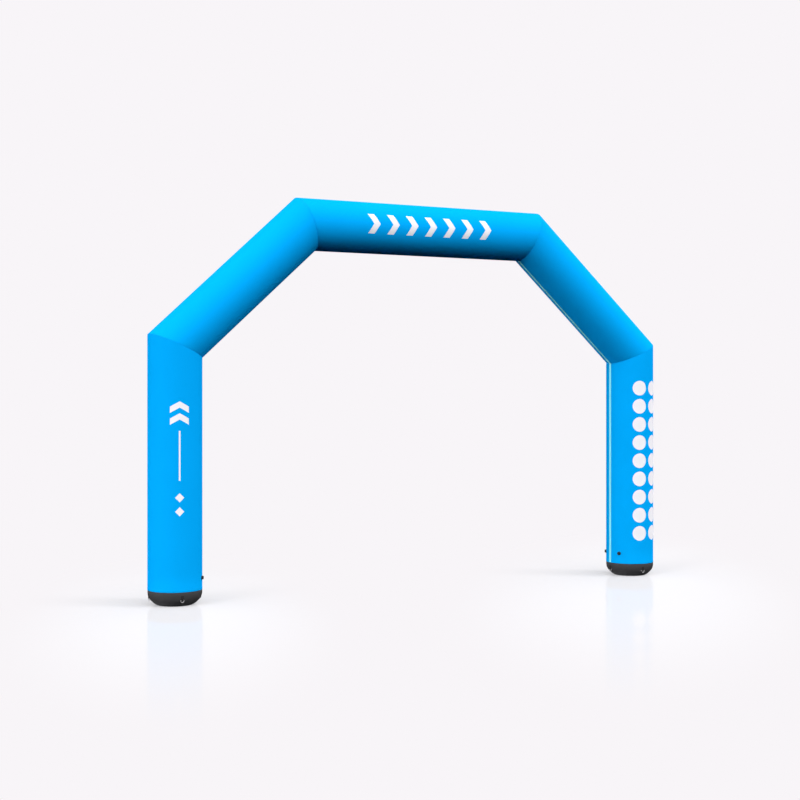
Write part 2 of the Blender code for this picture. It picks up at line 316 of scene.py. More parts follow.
# The studio dome is the sum of four lobes: the axis and side on which a lobe stands, how fast it falls
# off round to the other sides, and its brightness at the heights listed first. A height is 0 at the
# horizon and 1 straight up.
DOME_HEIGHTS = (0.075, 0.225, 0.375, 0.525, 0.70, 0.90)
DOME_LOBES = {
    "left, wide": ("X", -1, 2, (0.75, 0.45, 0.15, 0, 0, 0.55)),
    "left, narrow": ("X", -1, 8, (0.95, 0.6, 0.2, 0, 0, 0)),
    "right": ("X", 1, 2, (0.4, 0.45, 0.5, 0.45, 0.25, 0.2)),
    "front": ("Y", -1, 2, (0, 0, 0.25, 0.9, 1.0, 0.35)),
}
DOME_STRENGTH = 5.25


# ==== lines and outlines
def unit(vectors):
    return vectors / np.linalg.norm(vectors, axis=-1, keepdims=True)


def distances(points):
    """How far along a line of points each of them lies."""
    return np.concatenate(([0], np.cumsum(np.linalg.norm(np.diff(points, axis=0), axis=1))))


def bearings_round(sides, closed=False):
    """Even bearings all the way round from the back, where a closed round also ends."""
    bearings = np.linspace(-math.pi, math.pi, sides + 1)
    return bearings if closed else bearings[:-1]


def level_outward(sides):
    """Level directions all the way round a leg."""
    bearing = bearings_round(sides)
    return np.stack((np.sin(bearing), -np.cos(bearing), np.zeros(sides)), axis=1)


def arc(centre, radius, first, last, steps):
    """Points of an arc as pairs. Its angles are counted from the first axis towards the second."""
    return [(centre[0] + radius * math.cos(angle), centre[1] + radius * math.sin(angle))
            for angle in np.linspace(first, last, steps + 1)]


def rounded_edge(radius, height, rounding):
    """The quarter round of an outer top edge as (radius, height), from the side to the top."""
    return arc((radius - rounding, height - rounding), rounding, 0, QUARTER_TURN, EDGE_STEPS)


def offset_rows(line, offsets, closed=False):
    """For each point of a flat line, the first and second coordinates of the points this far beside it."""
    before, after = (np.roll(line, shift, axis=0) for shift in (1, -1))
    if not closed:
        before[0], after[-1] = line[0], line[-1]
    along = unit(after - before)
    beside = np.stack((along[:, 1], -along[:, 0]), axis=1)
    return line[:, :, None] + beside[:, :, None] * offsets


def cloth_grid(across, along):
    """Cloth coordinates for each ring and side, from those across the sides and those along the rings."""
    return np.stack(np.broadcast_arrays(across, along), axis=2)


# ==== meshes
def signed_volume(mesh):
    mesh.calc_loop_triangles()
    points = np.array([vertex.co for vertex in mesh.vertices])
    triangles = np.array([triangle.vertices for triangle in mesh.loop_triangles])
    a, b, c = (points[triangles[:, corner]] for corner in range(3))
    return float((a * np.cross(b, c)).sum())


def ring_faces(rows, sides, loop):
    """Quads between rings of vertices, and a cap at both ends unless the last ring meets the first."""
    faces = []
    for row in range(rows if loop else rows - 1):
        low, high = row * sides, (row + 1) % rows * sides
        for side in range(sides):
            after = (side + 1) % sides
            faces.append((low + side, low + after, high + after, high + side))
    if not loop:
        faces += [range(sides)[::-1], range((rows - 1) * sides, rows * sides)]
    return faces


def skin(bodies, uv=None, loop=False, sharp=35.0):
    """A mesh of one closed body, or of several alike, each of which is a pile of rings.

    uv holds a pair for each ring and side of the body, and one more at the wrap. An edge is sharp where
    it turns by more than this many degrees.
    """
    bodies = np.asarray(bodies, float)
    rows, sides = bodies.shape[-3:-1]
    pattern = ring_faces(rows, sides, loop)
    starts = range(0, bodies.size // 3, rows * sides)
    faces = [[start + corner for corner in face] for start in starts for face in pattern]
    mesh = bpy.data.meshes.new("skin")
    mesh.from_pydata(bodies.reshape(-1, 3).tolist(), [], faces)
    if uv is not None:
        quads = np.stack((uv[:-1, :-1], uv[:-1, 1:], uv[1:, 1:], uv[1:, :-1]), axis=2)
        corners = np.concatenate((quads.reshape(-1, 2), uv[0, :-1][::-1], uv[-1, :-1]))
        mesh.uv_layers.new(name="Cloth").data.foreach_set("uv", corners.ravel())
    if signed_volume(mesh) < 0:
        mesh.flip_normals()
    mesh.shade_smooth()
    mesh.set_sharp_from_angle(angle=math.radians(sharp))
    return mesh


def add_piece(name, mesh, material, replaces=()):
    """One piece of the arch, which rides on its only body."""
    mesh.name = name
    mesh.materials.append(material)
    piece = bpy.data.objects.new(name, mesh)
    bpy.context.collection.objects.link(piece)
    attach(piece, "root")
    if replaces:
        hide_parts(*replaces)
    return piece


# ==== tubes
class Tube:
    """One tube of the arch, between two corners of its centre line."""

    def __init__(self, part):
        index = TUBES.index(part)
        self.start, self.end = CORNERS[index], CORNERS[index + 1]
        self.length = np.linalg.norm(self.end - self.start)
        self.axis = unit(self.end - self.start)
        self.inwards = np.cross(ACROSS, self.axis)
        before = unit(self.start - CORNERS[index - 1]) if index else self.axis
        after = unit(CORNERS[index + 2] - self.end) if index < len(TUBES) - 1 else self.axis
        self.ends = ((self.start, unit(before + self.axis)), (self.end, unit(self.axis + after)))
        self.foot_at_end = FOOT_AT_END.get(part)

    def outward(self, bearing):
        return np.outer(np.cos(bearing), FRONT) + np.outer(np.sin(bearing), self.inwards)

    def mitre(self, bearing, radius, at_end, short=0.0):
        """How far along the axis each line of the tube meets the mitre plane at one end, or stops short."""
        corner, normal = self.ends[at_end]
        side = -1 if at_end else 1
        off = self.start - corner + self.outward(bearing) * np.reshape(radius, (-1, 1))
        return (side * GAP / 2 - off @ normal) / (self.axis @ normal) + side * short

    def innermost_reach(self, radius):
        """Where the innermost line at this radius meets the mitre planes at the start and at the end."""
        return [self.mitre(np.array((INNERMOST,)), radius, at_end)[0] for at_end in (False, True)]

    def ring(self, bearing, radius, along):
        """Points of the tube at these bearings, radii and distances along the axis."""
        out = self.outward(bearing) * np.reshape(radius, (-1, 1))
        return self.start + out + np.outer(np.broadcast_to(along, len(bearing)), self.axis)


def seam_radius(bearing, distance):
    """Radius of the cloth near a mitre seam, where it is rounded into the seam, puckered and pulled in."""
    wave = sum(share * np.sin(count * bearing + phase) for count, phase, share in PUCKERS)
    pucker = PUCKER_DEPTH * (1 + wave) / 2 * math.exp(-distance / PUCKER_REACH)
    inset = max(0.0, 1 - distance / SEAM_ROUNDING)
    rounding = SEAM_ROUNDING * (1 - math.sqrt(1 - inset ** 2))
    pull = STITCH_PULL * math.exp(-((distance - STITCH_OFFSET) / STITCH_TROUGH) ** 2)
    return TUBE_RADIUS - pucker - rounding - pull


def hem_profile():
    """The turned hem as (radius, height) pairs, from inside its lip, round its edge and up the band."""
    inner = TUBE_RADIUS - HEM_THICKNESS
    outer = TUBE_RADIUS + HEM_BULGE
    profile = [(inner, HEM_HEIGHT + HEM_LIP)]
    for centre, first in ((inner + HEM_ROUNDING, math.pi), (outer - HEM_ROUNDING, math.pi + QUARTER_TURN)):
        middle = (centre, HEM_HEIGHT + HEM_ROUNDING)
        profile += arc(middle, HEM_ROUNDING, first, first + QUARTER_TURN, HEM_EDGE_STEPS)
    for share, bulge in HEM_FACE:
        profile.append((TUBE_RADIUS + HEM_BULGE * bulge, HEM_HEIGHT + HEM_BAND * share))
    return profile


def end_rows(tube, bearing, at_end):
    """Radius and distance along the axis of each ring near one end: a hem at a foot, or else a seam."""
    if at_end == tube.foot_at_end:
        rows = [(radius, tube.length - height if at_end else height) for radius, height in hem_profile()]
    else:
        rows = []
        for distance in SEAM_STEPS:
            radius = seam_radius(bearing, distance)
            rows.append((radius, tube.mitre(bearing, radius, at_end, distance)))
    return rows[::-1] if at_end else rows


def tube_rings(tube):
    """Rings from the tube's start to its end, and the distance along the axis of every point."""
    bearing = bearings_round(TUBE_SIDES)
    first, last = (end_rows(tube, bearing, at_end) for at_end in (False, True))
    start = first[-1][1]
    reach = last[0][1] - start
    count = max(2, int(np.mean(reach) / ROW_SPACING))
    middle = [(TUBE_RADIUS, start + reach * share) for share in np.linspace(0, 1, count + 1)[1:-1]]
    rows = first + middle + last
    rings = [tube.ring(bearing, radius, along) for radius, along in rows]
    return rings, np.array([np.broadcast_to(along, TUBE_SIDES) for _, along in rows])


# ==== stitching
def resample(points, normals, pitch, closed):
    """The same line at even steps of about the pitch: places, vectors of half a stitch, and ways up."""
    if closed:
        points = np.concatenate((points, points[:1]))
        normals = np.concatenate((normals, normals[:1]))
    travelled = distances(points)
    count = max(1, round(travelled[-1] / pitch))
    at = (np.arange(count) + 0.5) * travelled[-1] / count

    def read(values, where):
        return np.stack([np.interp(where, travelled, values[:, axis]) for axis in range(3)], axis=1)

    half = min(STITCH_LENGTH, pitch) / 2
    ahead, behind = (read(points, np.clip(at + shift, 0, travelled[-1])) for shift in (half, -half))
    return read(points, at), (ahead - behind) / 2, unit(read(normals, at))


def stitch_run(points, normals, closed=True, pitch=STITCH_PITCH):
    """A row of lockstitches along a line, each as rings. One normal can serve the whole line."""
    points = np.array(points)
    here, half, up = resample(points, np.broadcast_to(normals, points.shape), pitch, closed)
    side = unit(np.cross(half, up))
    rings = []
    for share, lift, radius in STITCH_RINGS:
        centre = here + half * share + up * lift * THREAD_RADIUS
        turns = 2 * math.pi * np.arange(STITCH_SIDES) / STITCH_SIDES
        around = [up * math.cos(turn) + side * math.sin(turn) for turn in turns]
        rings.append([centre + way * radius * THREAD_RADIUS for way in around])
    return np.moveaxis(rings, 2, 0)


def stitches_mesh(runs):
    return skin(np.concatenate(runs), sharp=60.0)


def mitre_stitches(tube, at_end):
    """The topstitching that runs round a tube beside its mitre seam."""
    bearing = bearings_round(TUBE_SIDES)
    radius = seam_radius(bearing, STITCH_OFFSET)
    along = tube.mitre(bearing, radius, at_end, STITCH_OFFSET)
    return stitch_run(tube.ring(bearing, radius, along), tube.outward(bearing))


def paired_rows(tube, offset, places, radius_at):
    """Two rows of stitches this far to either side of the innermost line, through places along it."""
    runs = []
    for side in (-1, 1):
        bearing = np.array((INNERMOST + side * offset / TUBE_RADIUS,))
        points = [tube.ring(bearing, radius_at(bearing, along), along)[0] for along in places]
        runs.append(stitch_run(points, tube.outward(bearing), closed=False))
    return runs


def closing_stitches(tube):
    """The two rows that sew the cloth of a tube without a zip shut, along its innermost line."""
    low, high = tube.innermost_reach(TUBE_RADIUS)
    is_leg = tube.foot_at_end is not None
    start = HEM_HEIGHT + HEM_BAND if is_leg else low + FELL_MARGIN

    def radius_at(bearing, along):
        return seam_radius(bearing, high - along if is_leg else min(along - low, high - along))

    places = np.linspace(start, high - FELL_MARGIN, FELL_STEPS)
    return paired_rows(tube, FELL_STITCH_OFFSET, places, radius_at)


def level_stitches(x, radius, height):
    """A level row of stitches round a leg or a boot."""
    outward = level_outward(TUBE_SIDES)
    return stitch_run(np.array((x, 0, height)) + outward * radius, outward)


# ==== node trees
# Places of the colour sockets of a mix node. Its other sockets have the same names.
MIX_FIRST, MIX_SECOND, MIX_RESULT = 6, 7, 2


class Graph:
    """A node tree, and short calls that add nodes to it and return what they put out."""

    def __init__(self, tree):
        self.nodes, self.links = tree.nodes, tree.links

    def feed(self, socket, value):
        """Link a socket to another one, or give it a number, a vector or an opaque colour."""
        if isinstance(value, bpy.types.NodeSocket):
            self.links.new(value, socket)
        elif socket.type == "RGBA":
            socket.default_value = (*value, 1)
        else:
            socket.default_value = value

    def add(self, kind, output, inputs=None, **settings):
        """Add a node with these settings, and feed its inputs, which are given by name or by place."""
        node = self.nodes.new("ShaderNode" + kind)
        for name, value in settings.items():
            setattr(node, name, value)
        for name, value in (inputs or {}).items():
            self.feed(node.inputs[name], value)
        return node.outputs[output]

    def math(self, operation, *values):
        return self.add("Math", "Value", dict(enumerate(values)), operation=operation)

    def axes(self, vector):
        """The three numbers of a vector, as sockets called X, Y and Z."""
        return self.add("SeparateXYZ", "X", {"Vector": vector}).node.outputs

    def spread(self, value, low, high, from_low=0.0, from_high=1.0, **settings):
        """Stretch one range of numbers over another, and stop at its ends."""
        ranges = {"From Min": from_low, "From Max": from_high, "To Min": low, "To Max": high}
        return self.add("MapRange", "Result", {"Value": value, **ranges}, **settings)


class Finish(Graph):
    """A material with one Principled shader."""

    def __init__(self, name, roughness, metallic=0.0, specular=0.5, sheen=0.0, sheen_tint=(1, 1, 1)):
        self.material = bpy.data.materials.new(name)
        self.material.use_nodes = True
        super().__init__(self.material.node_tree)
        self.shader = self.nodes["Principled BSDF"]
        surface = {"Roughness": roughness, "Metallic": metallic, "Specular IOR Level": specular}
        for name, value in {**surface, "Sheen Weight": sheen, "Sheen Tint": sheen_tint}.items():
            self.feed(self.shader.inputs[name], value)

    def colour(self, value):
        self.feed(self.shader.inputs["Base Color"], value)

    def roughness(self, value):
        self.feed(self.shader.inputs["Roughness"], value)

    def bump(self, relief, depth, strength=1.0):
        """Add a relief to the surface, on top of those that it already has."""
        inputs = {"Height": relief, "Distance": depth, "Strength": strength}
        normal = self.shader.inputs["Normal"]
        if normal.is_linked:
            inputs["Normal"] = normal.links[0].from_socket
        self.feed(normal, self.add("Bump", "Normal", inputs))

    def shade(self, colour, factor):
        """A colour made brighter or darker by a factor."""
        return self.add("VectorMath", "Vector", {"Vector": colour, "Scale": factor}, operation="SCALE")

    def mix(self, share, first, second):
        colours = {MIX_FIRST: first, MIX_SECOND: second}
        return self.add("Mix", MIX_RESULT, {0: share, **colours}, data_type="RGBA")

    def textured(self, colour, relief, low, high, depth, strength):
        """Give the surface a fine relief, and a colour that goes from low to high brightness with it."""
        self.colour(self.shade(colour, self.spread(relief, low, high)))
        self.bump(relief, depth, strength)

    def cloth_uv(self):
        """The cloth coordinates of the piece, as two sockets in metres."""
        axes = self.axes(self.add("UVMap", "UV", uv_map="Cloth"))
        return axes["X"], axes["Y"]

    def noise(self, scale, detail=2.0, roughness=0.5):
        inputs = {"Scale": scale, "Detail": detail, "Roughness": roughness}
        return self.add("TexNoise", "Fac", {"Vector": self.add("TexCoord", "Object"), **inputs})

    def plain_weave(self, u, v, pitch):
        """Height of a plain weave, 0 to 1, where the yarns of both directions pass over each other."""
        warp, weft = (self.math("SINE", self.math("MULTIPLY", way, math.pi / pitch)) for way in (u, v))
        return self.math("MULTIPLY_ADD", self.math("MULTIPLY", warp, weft), 0.5, 0.5)

    def ribs(self, distance, pitch):
        """Height of round ribs, 0 to 1."""
        wave = self.math("SINE", self.math("MULTIPLY", distance, 2 * math.pi / pitch))
        return self.math("MULTIPLY_ADD", wave, 0.5, 0.5)


# ==== printed designs
# calc is the call that adds one sum to a material. A print is 1 where there is ink, and 0 elsewhere.
def within(calc, value, half):
    return calc("LESS_THAN", calc("ABSOLUTE", value), half)


def nearest_in_row(calc, value, first, pitch, count):
    """Distance from the nearest of several evenly spaced places."""
    cell = calc("ROUND", calc("DIVIDE", calc("SUBTRACT", value, first), pitch))
    cell = calc("MINIMUM", calc("MAXIMUM", cell, 0), count - 1)
    return calc("SUBTRACT", value, calc("MULTIPLY_ADD", cell, pitch, first))


def chevron_row(calc, along, across, half_width, stroke, slope, **row):
    """Chevrons that point along their row, each of two slanted strokes that meet on its axis."""
    step = nearest_in_row(calc, along, **row)
    slanted = calc("MULTIPLY_ADD", calc("ABSOLUTE", across), slope, step)
    centred = calc("SUBTRACT", slanted, half_width * slope / 2)
    return calc("MULTIPLY", within(calc, centred, stroke / 2), within(calc, across, half_width))


def beam_print(calc, u, v):
    """A row of chevrons along the front of the beam."""
    return chevron_row(calc, v, calc("SUBTRACT", u, BEAM_PRINT_RISE), **BEAM_CHEVRONS)


def left_print(calc, u, v):
    """Two upward chevrons over a slim bar and two diamonds, all on one upright axis."""
    across = calc("SUBTRACT", u, LEG_PRINT_BEARING * TUBE_RADIUS)
    chevrons = chevron_row(calc, v, across, **LEG_CHEVRONS)
    bar_length = within(calc, calc("SUBTRACT", v, LEG_BAR["middle"]), LEG_BAR["half_length"])
    bar = calc("MULTIPLY", bar_length, within(calc, across, LEG_BAR["half_width"]))
    step = nearest_in_row(calc, v, **LEG_DIAMONDS)
    slanted = calc("ADD", calc("ABSOLUTE", across), calc("ABSOLUTE", step))
    diamonds = calc("LESS_THAN", slanted, DIAMOND_RADIUS)
    return calc("MAXIMUM", calc("MAXIMUM", chevrons, bar), diamonds)


def right_print(calc, u, v):
    """A grid of discs on the front of the right leg."""
    x = nearest_in_row(calc, u, **DISC_COLUMNS)
    y = nearest_in_row(calc, v, **DISC_ROWS)
    squares = calc("ADD", calc("MULTIPLY", x, x), calc("MULTIPLY", y, y))
    return calc("LESS_THAN", calc("SQRT", squares), DISC_RADIUS)


# Cloth of each tube: scale of its coordinates round the tube and along it, where they start along it
# as a share of its length, and the design that is printed on it
CLOTHS = {
    "leg_left": (1, 1, 0.0, left_print),
    "diagonal_left": (1, 1, 0.0, None),
    "beam": (-1, 1, -0.5, beam_print),
    "diagonal_right": (1, 1, 0.0, None),
    "leg_right": (-1, -1, 1.0, right_print),
}


# ==== materials
def printed_cloth(name, design, closed_at):
    """Fine plain-woven polyester with the ground and the design printed into it.

    closed_at is how far round the tube its cloth is felled and sewn shut, or None where it has a zip.
    """
    finish = Finish(name, roughness=0.7, specular=0.0, sheen=0.04, sheen_tint=BLUE_SHEEN)
    u, v = finish.cloth_uv()
    ink = finish.mix(design(finish.math, u, v), BLUE, WHITE_INK) if design else BLUE
    weave = finish.plain_weave(u, v, CLOTH_WEAVE)
    yarn = finish.spread(weave, low=0.955, high=1.03)
    cloud = finish.spread(finish.noise(scale=2.2), low=0.985, high=1.015, from_low=0.3, from_high=0.7)
    finish.colour(finish.shade(ink, finish.math("MULTIPLY", yarn, cloud)))
    finish.roughness(finish.spread(weave, low=0.68, high=0.56))
    finish.bump(weave, depth=0.00012, strength=0.8)
    finish.bump(finish.noise(scale=9.0, detail=3.0), depth=0.0006, strength=0.5)
    if closed_at is not None:
        from_fell = finish.math("ABSOLUTE", finish.math("SUBTRACT", u, closed_at))
        fell = finish.spread(from_fell, 1.0, 0.0, FELL_HALF_WIDTH - FELL_RISE, FELL_HALF_WIDTH)
        finish.bump(fell, depth=FELL_RISE)
    return finish.material


def boot_cloth():
    """Black coated cloth, scuffed and dusty towards the ground, and paler there with painted light from
    below.
    """
    finish = Finish("boot_cloth", roughness=0.55, specular=0.25)
    u, v = finish.cloth_uv()
    weave = finish.plain_weave(u, v, BOOT_WEAVE)
    scuff = finish.noise(scale=38.0, detail=6.0, roughness=0.7)
    patchy = finish.spread(scuff, low=0.55, high=1.0, from_low=0.45, from_high=0.78)
    # painted bounce light: the dust is made stronger towards the ground, standing in for light from below
    # as well as for dust
    dust_and_bounce_light = finish.math("MULTIPLY", patchy, finish.spread(v, 1.0, 0.0, *BOOT_DUST_AND_BOUNCE_LIGHT))
    # painted bounce light: the colour is made paler towards the ground, standing in for light bounced up
    # from the floor
    painted_bounce_light = finish.spread(v, 1.35, 1.0, *BOOT_BOUNCE_LIGHT)
    yarn = finish.spread(weave, low=0.92, high=1.06)
    base = finish.mix(dust_and_bounce_light, BOOT_BLACK, BOOT_GREY)
    finish.colour(finish.shade(base, finish.math("MULTIPLY", yarn, painted_bounce_light)))
    finish.roughness(finish.spread(dust_and_bounce_light, low=0.52, high=0.8))
    finish.bump(weave, depth=0.00018, strength=0.8)
    finish.bump(finish.noise(scale=16.0, detail=3.0), depth=0.0012, strength=0.5)
    return finish.material


def zip_tape():
    """Pale woven tape with ribs along it, darker towards its edges with painted shade of the seam beside
    it.
    """
    finish = Finish("zip_tape", roughness=0.6, specular=0.2)
    u, v = finish.cloth_uv()
    # painted shade: the tape darkens towards its edges, where the seam beside it lies in shade
    edge = finish.spread(finish.math("ABSOLUTE", u), 0.0, 1.0, *TAPE_SHADE_EDGE)
    base = finish.mix(edge, TAPE_PALE, TAPE_SHADE_BLUE)
    finish.textured(base, finish.ribs(u, TAPE_RIBS), low=0.93, high=1.04, depth=0.00015, strength=0.8)
    finish.bump(finish.plain_weave(u, v, TAPE_WEAVE), depth=0.0001, strength=0.6)
    return finish.material


def zip_teeth():
    """Pale moulded plastic."""
    finish = Finish("zip_teeth", roughness=0.38, specular=0.4)
    grain = finish.noise(scale=900.0)
    finish.textured(TEETH_PALE, grain, low=0.95, high=1.05, depth=0.00005, strength=0.5)
    return finish.material


def webbing():
    """Black polyester webbing with slanted ribs."""
    finish = Finish("webbing", roughness=0.78, specular=0.25)
    u, v = finish.cloth_uv()
    ribs = finish.ribs(finish.math("ADD", v, finish.math("ABSOLUTE", u)), WEBBING_RIBS)
    finish.textured(WEBBING_BLACK, ribs, low=0.7, high=1.25, depth=0.0003, strength=0.9)
    return finish.material


def thread(name, colour):
    """Twisted polyester thread."""
    finish = Finish(name, roughness=0.7, specular=0.2)
    twist = finish.noise(scale=1600.0)
    finish.textured(colour, twist, low=0.85, high=1.12, depth=0.0001, strength=0.6)
    return finish.material


def valve_plastic():
    """Black moulded plastic with a fine spark-eroded grain."""
    finish = Finish("valve_plastic", roughness=0.45, specular=0.45)
    grain = finish.noise(scale=1400.0, detail=3.0)
    finish.textured(VALVE_BLACK, grain, low=0.8, high=1.2, depth=0.00008, strength=0.5)
    finish.roughness(finish.spread(finish.noise(scale=60.0, detail=3.0), low=0.36, high=0.55))
    return finish.material


def ring_metal():
    """Bright zinc-plated steel wire, dulled in patches and finely scratched."""
    finish = Finish("ring_metal", roughness=0.25, metallic=0.8)
    patches = finish.noise(scale=140.0, detail=4.0, roughness=0.6)
    dull = finish.spread(patches, low=0.0, high=1.0, from_low=0.45, from_high=0.7)
    finish.colour(finish.mix(dull, ZINC_BRIGHT, ZINC_DULL))
    finish.roughness(finish.spread(patches, low=0.2, high=0.42, from_low=0.35, from_high=0.7))
    finish.bump(finish.noise(scale=2200.0), depth=0.00004, strength=0.4)
    return finish.material


# ==== cover
def make_tubes(thread_blue):
    for part in TUBES:
        tube = Tube(part)
        scale_round, scale_along, start, design = CLOTHS[part]
        rings, along = tube_rings(tube)
        along = np.concatenate((along, along[:, :1]), axis=1)
        across = bearings_round(TUBE_SIDES, closed=True) * TUBE_RADIUS * scale_round
        mesh = skin(rings, cloth_grid(across, start * tube.length + along * scale_along))
        closed_at = None if part in ZIPPED_TUBES else INNERMOST * TUBE_RADIUS * scale_round
        material = printed_cloth("cloth_" + part, design, closed_at)
        piece = add_piece("cloth_" + part, mesh, material, ["cover_" + part])
        runs = []
        for at_end in (False, True):
            if at_end == tube.foot_at_end:
                runs.append(level_stitches(tube.start[0], TUBE_RADIUS, HEM_HEIGHT + HEM_STITCH_HEIGHT))
            else:
                runs.append(mitre_stitches(tube, at_end))
        if closed_at is not None:
            runs += closing_stitches(tube)
        add_piece("stitches_" + part, stitches_mesh(runs), thread_blue)


# ==== boots
def boot_point(bearing, stand_off=0.0):
    """A point off a boot's rounded side as (radius, height). A quarter turn is where the side is upright.

    The side swells out towards the top, until it is flush with the leg.
    """
    share = np.clip((bearing - SWELL_BEARINGS[0]) / (SWELL_BEARINGS[1] - SWELL_BEARINGS[0]), 0, 1)
    reach = BOOT_ROUNDING + BOOT_SWELL * share * share * (3 - 2 * share) + stand_off
    return BOOT_ARC_CENTRE + np.array((math.sin(bearing), -math.cos(bearing))) * reach


def boot_profile():
    """Outline of a boot as (radius, height), from under its sole to the middle of its top."""
    spread = np.linspace(-SOLE_SEAM_SPREAD, SOLE_SEAM_SPREAD, SOLE_SEAM_RINGS)
    near_seam = SOLE_SEAM_BEARING + spread * SOLE_SEAM_REACH / BOOT_ROUNDING
    even = np.linspace(BOOT_ARC_START, QUARTER_TURN, BOOT_ARC_STEPS)
    profile = [(SOLE_RADIUS * share, 0.0) for share in SOLE_SHARES]
    for bearing in sorted((*even, *near_seam)):
        off_seam = (bearing - SOLE_SEAM_BEARING) * BOOT_ROUNDING / SOLE_SEAM_REACH
        profile.append(boot_point(bearing, -SOLE_SEAM_DEPTH * math.exp(-off_seam ** 2)))
    lip_top = HEM_HEIGHT - BOOT_LIP_BELOW_HEM
    profile += rounded_edge(BOOT_RADIUS + BOOT_SWELL, lip_top, BOOT_LIP_ROUNDING)
    profile.append((BOOT_RADIUS, lip_top))
    profile += rounded_edge(BOOT_RADIUS, BOOT_TOP, BOOT_TOP_ROUNDING)
    profile.append((BOOT_RADIUS * BOOT_TOP_SHARE, BOOT_TOP))
    return np.array(profile)


def make_boots(material, thread_black):
    profile = boot_profile()
    outward = level_outward(BOOT_SIDES)
    uv = cloth_grid(bearings_round(BOOT_SIDES, closed=True) * BOOT_RADIUS, distances(profile)[:, None])
    row_bearing = SOLE_SEAM_BEARING + SOLE_SEAM_REACH / BOOT_ROUNDING
    row_radius, row_height = boot_point(row_bearing, -SOLE_STITCH_DEPTH)
    for side, (x, _) in SIDES.items():
        rings = [np.array((x, 0, height)) + outward * radius for radius, height in profile]
        piece = add_piece("boot_shell_" + side, skin(rings, uv), material, ["boot_" + side])
        row = level_stitches(x, row_radius, row_height)
        add_piece("stitches_boot_" + side, stitches_mesh([row]), thread_black)


# ==== zip
def tape_lift(height):
    """How far the tape is lifted at a height on the leg, where it climbs over the turned hem."""
    over = (height - HEM_HEIGHT - HEM_BAND) / STITCH_TROUGH
    return HEM_BULGE * (1 - math.tanh(over / 2)) / 2


def zip_reach(tube):
    """Where the zip starts and ends along the middle line of its tube."""
    start, end = tube.innermost_reach(TUBE_RADIUS + GAP)
    if tube.foot_at_end:
        end = tube.length - HEM_HEIGHT - ZIP_END_ABOVE_HEM
    return start, end


def tape_mesh(tube):
    """The zip's tape on the innermost line of its tube, cut to the mitre planes."""
    face = [(-across, height) for across, height in reversed(TAPE_FACE)] + list(TAPE_FACE)
    back = [(across, -ZIP_TAPE) for across, _ in reversed(face[1:-1])]
    across, height = np.array(face + back).T
    bearing = INNERMOST + across / TUBE_RADIUS
    raised = height + ZIP_TAPE + TUBE_RADIUS + GAP
    rows = [(raised, tube.mitre(bearing, raised, False))]
    if tube.foot_at_end:
        for step in TAPE_FOOT_STEPS:
            along = np.full(len(across), tube.length - HEM_HEIGHT - step)
            rows.append((raised + tape_lift(HEM_HEIGHT + step), along))
    else:
        rows.append((raised, tube.mitre(bearing, raised, True)))
    rings = [tube.ring(bearing, radius, along) for radius, along in rows]
    along = np.array([np.append(along, along[0]) for _, along in rows])
    return skin(rings, cloth_grid(np.append(across, across[0]), along), sharp=50.0)


def chain_block(tube, size, along, shift=0.0, lift=0.0):
    """Rings of a block with bevelled top edges, which stands on the tape of the zip."""
    across = np.cross(tube.inwards, tube.axis)
    seat = tube.start + tube.inwards * (TUBE_RADIUS + GAP + ZIP_TAPE + lift)
    seat = seat + across * shift + tube.axis * along
    width, length, height = size
    rings = []
    for rise, inset in ((0.0, 0.0), (height - TOOTH_BEVEL, 0.0), (height, TOOTH_BEVEL)):
        right, ahead = across * (width / 2 - inset), tube.axis * (length / 2 - inset)
        near, far = (seat + tube.inwards * rise + step for step in (-ahead, ahead))
        rings.append([near - right, near + right, far + right, far - right])
    return rings


def chain_mesh(tube):
    """The zip's closed chain: teeth that come from each tape in turn, and the stop at the foot."""
    start, end = zip_reach(tube)
    last = end - (ZIP_STOP_SIZE[1] * 2 if tube.foot_at_end else CHAIN_MARGIN)
    places = np.arange(start + CHAIN_MARGIN, last, TOOTH_PITCH)
    blocks = []
    for number, along in enumerate(places):
        blocks.append(chain_block(tube, TOOTH_SIZE, along, TOOTH_SHIFT if number % 2 else -TOOTH_SHIFT))
    if tube.foot_at_end:
        blocks.append(chain_block(tube, ZIP_STOP_SIZE, last + ZIP_STOP_SIZE[1] / 2, lift=HEM_BULGE))
    return skin(blocks, sharp=30.0)


def tape_stitches(tube):
    """The two rows of stitches that hold the tape's edges down."""
    start, end = zip_reach(tube)
    places = np.linspace(start + TAPE_STITCH_MARGINS[0], end - TAPE_STITCH_MARGINS[1], TAPE_STITCH_STEPS)
    seat = TUBE_RADIUS + GAP + ZIP_TAPE - TAPE_STITCH_SINK

    def radius_at(bearing, along):
        return seat + (tape_lift(tube.length - along) if tube.foot_at_end else 0.0)

    return stitches_mesh(paired_rows(tube, TAPE_STITCH_LINE, places, radius_at))


def make_zips(tape, teeth, thread_pale):
    for part in ZIPPED_TUBES:
        tube = Tube(part)
        start, end = zip_reach(tube)
        piece = add_piece("zip_tape_" + part, tape_mesh(tube), tape, ["zip_" + part])
        chain = add_piece("zip_teeth_" + part, chain_mesh(tube), teeth)
        stitches = add_piece("zip_stitches_" + part, tape_stitches(tube), thread_pale)


# ==== fittings low on the legs
class Fitting:
    """The frame of a fitting: the foot of the leg's axis, and the ways outwards and sideways."""

    def __init__(self, x, direction):
        self.origin = np.array((x, 0.0, 0.0))
        self.out = np.array((*direction, 0.0))
        self.sideways = np.array((-self.out[1], self.out[0], 0.0))

    def points(self, far, across, height):
        """Points this far out from the leg's axis, across from the middle of the fitting, and high."""
        level = np.outer(far, self.out) + np.outer(across, self.sideways)
        return self.origin + level + np.outer(height, UP)


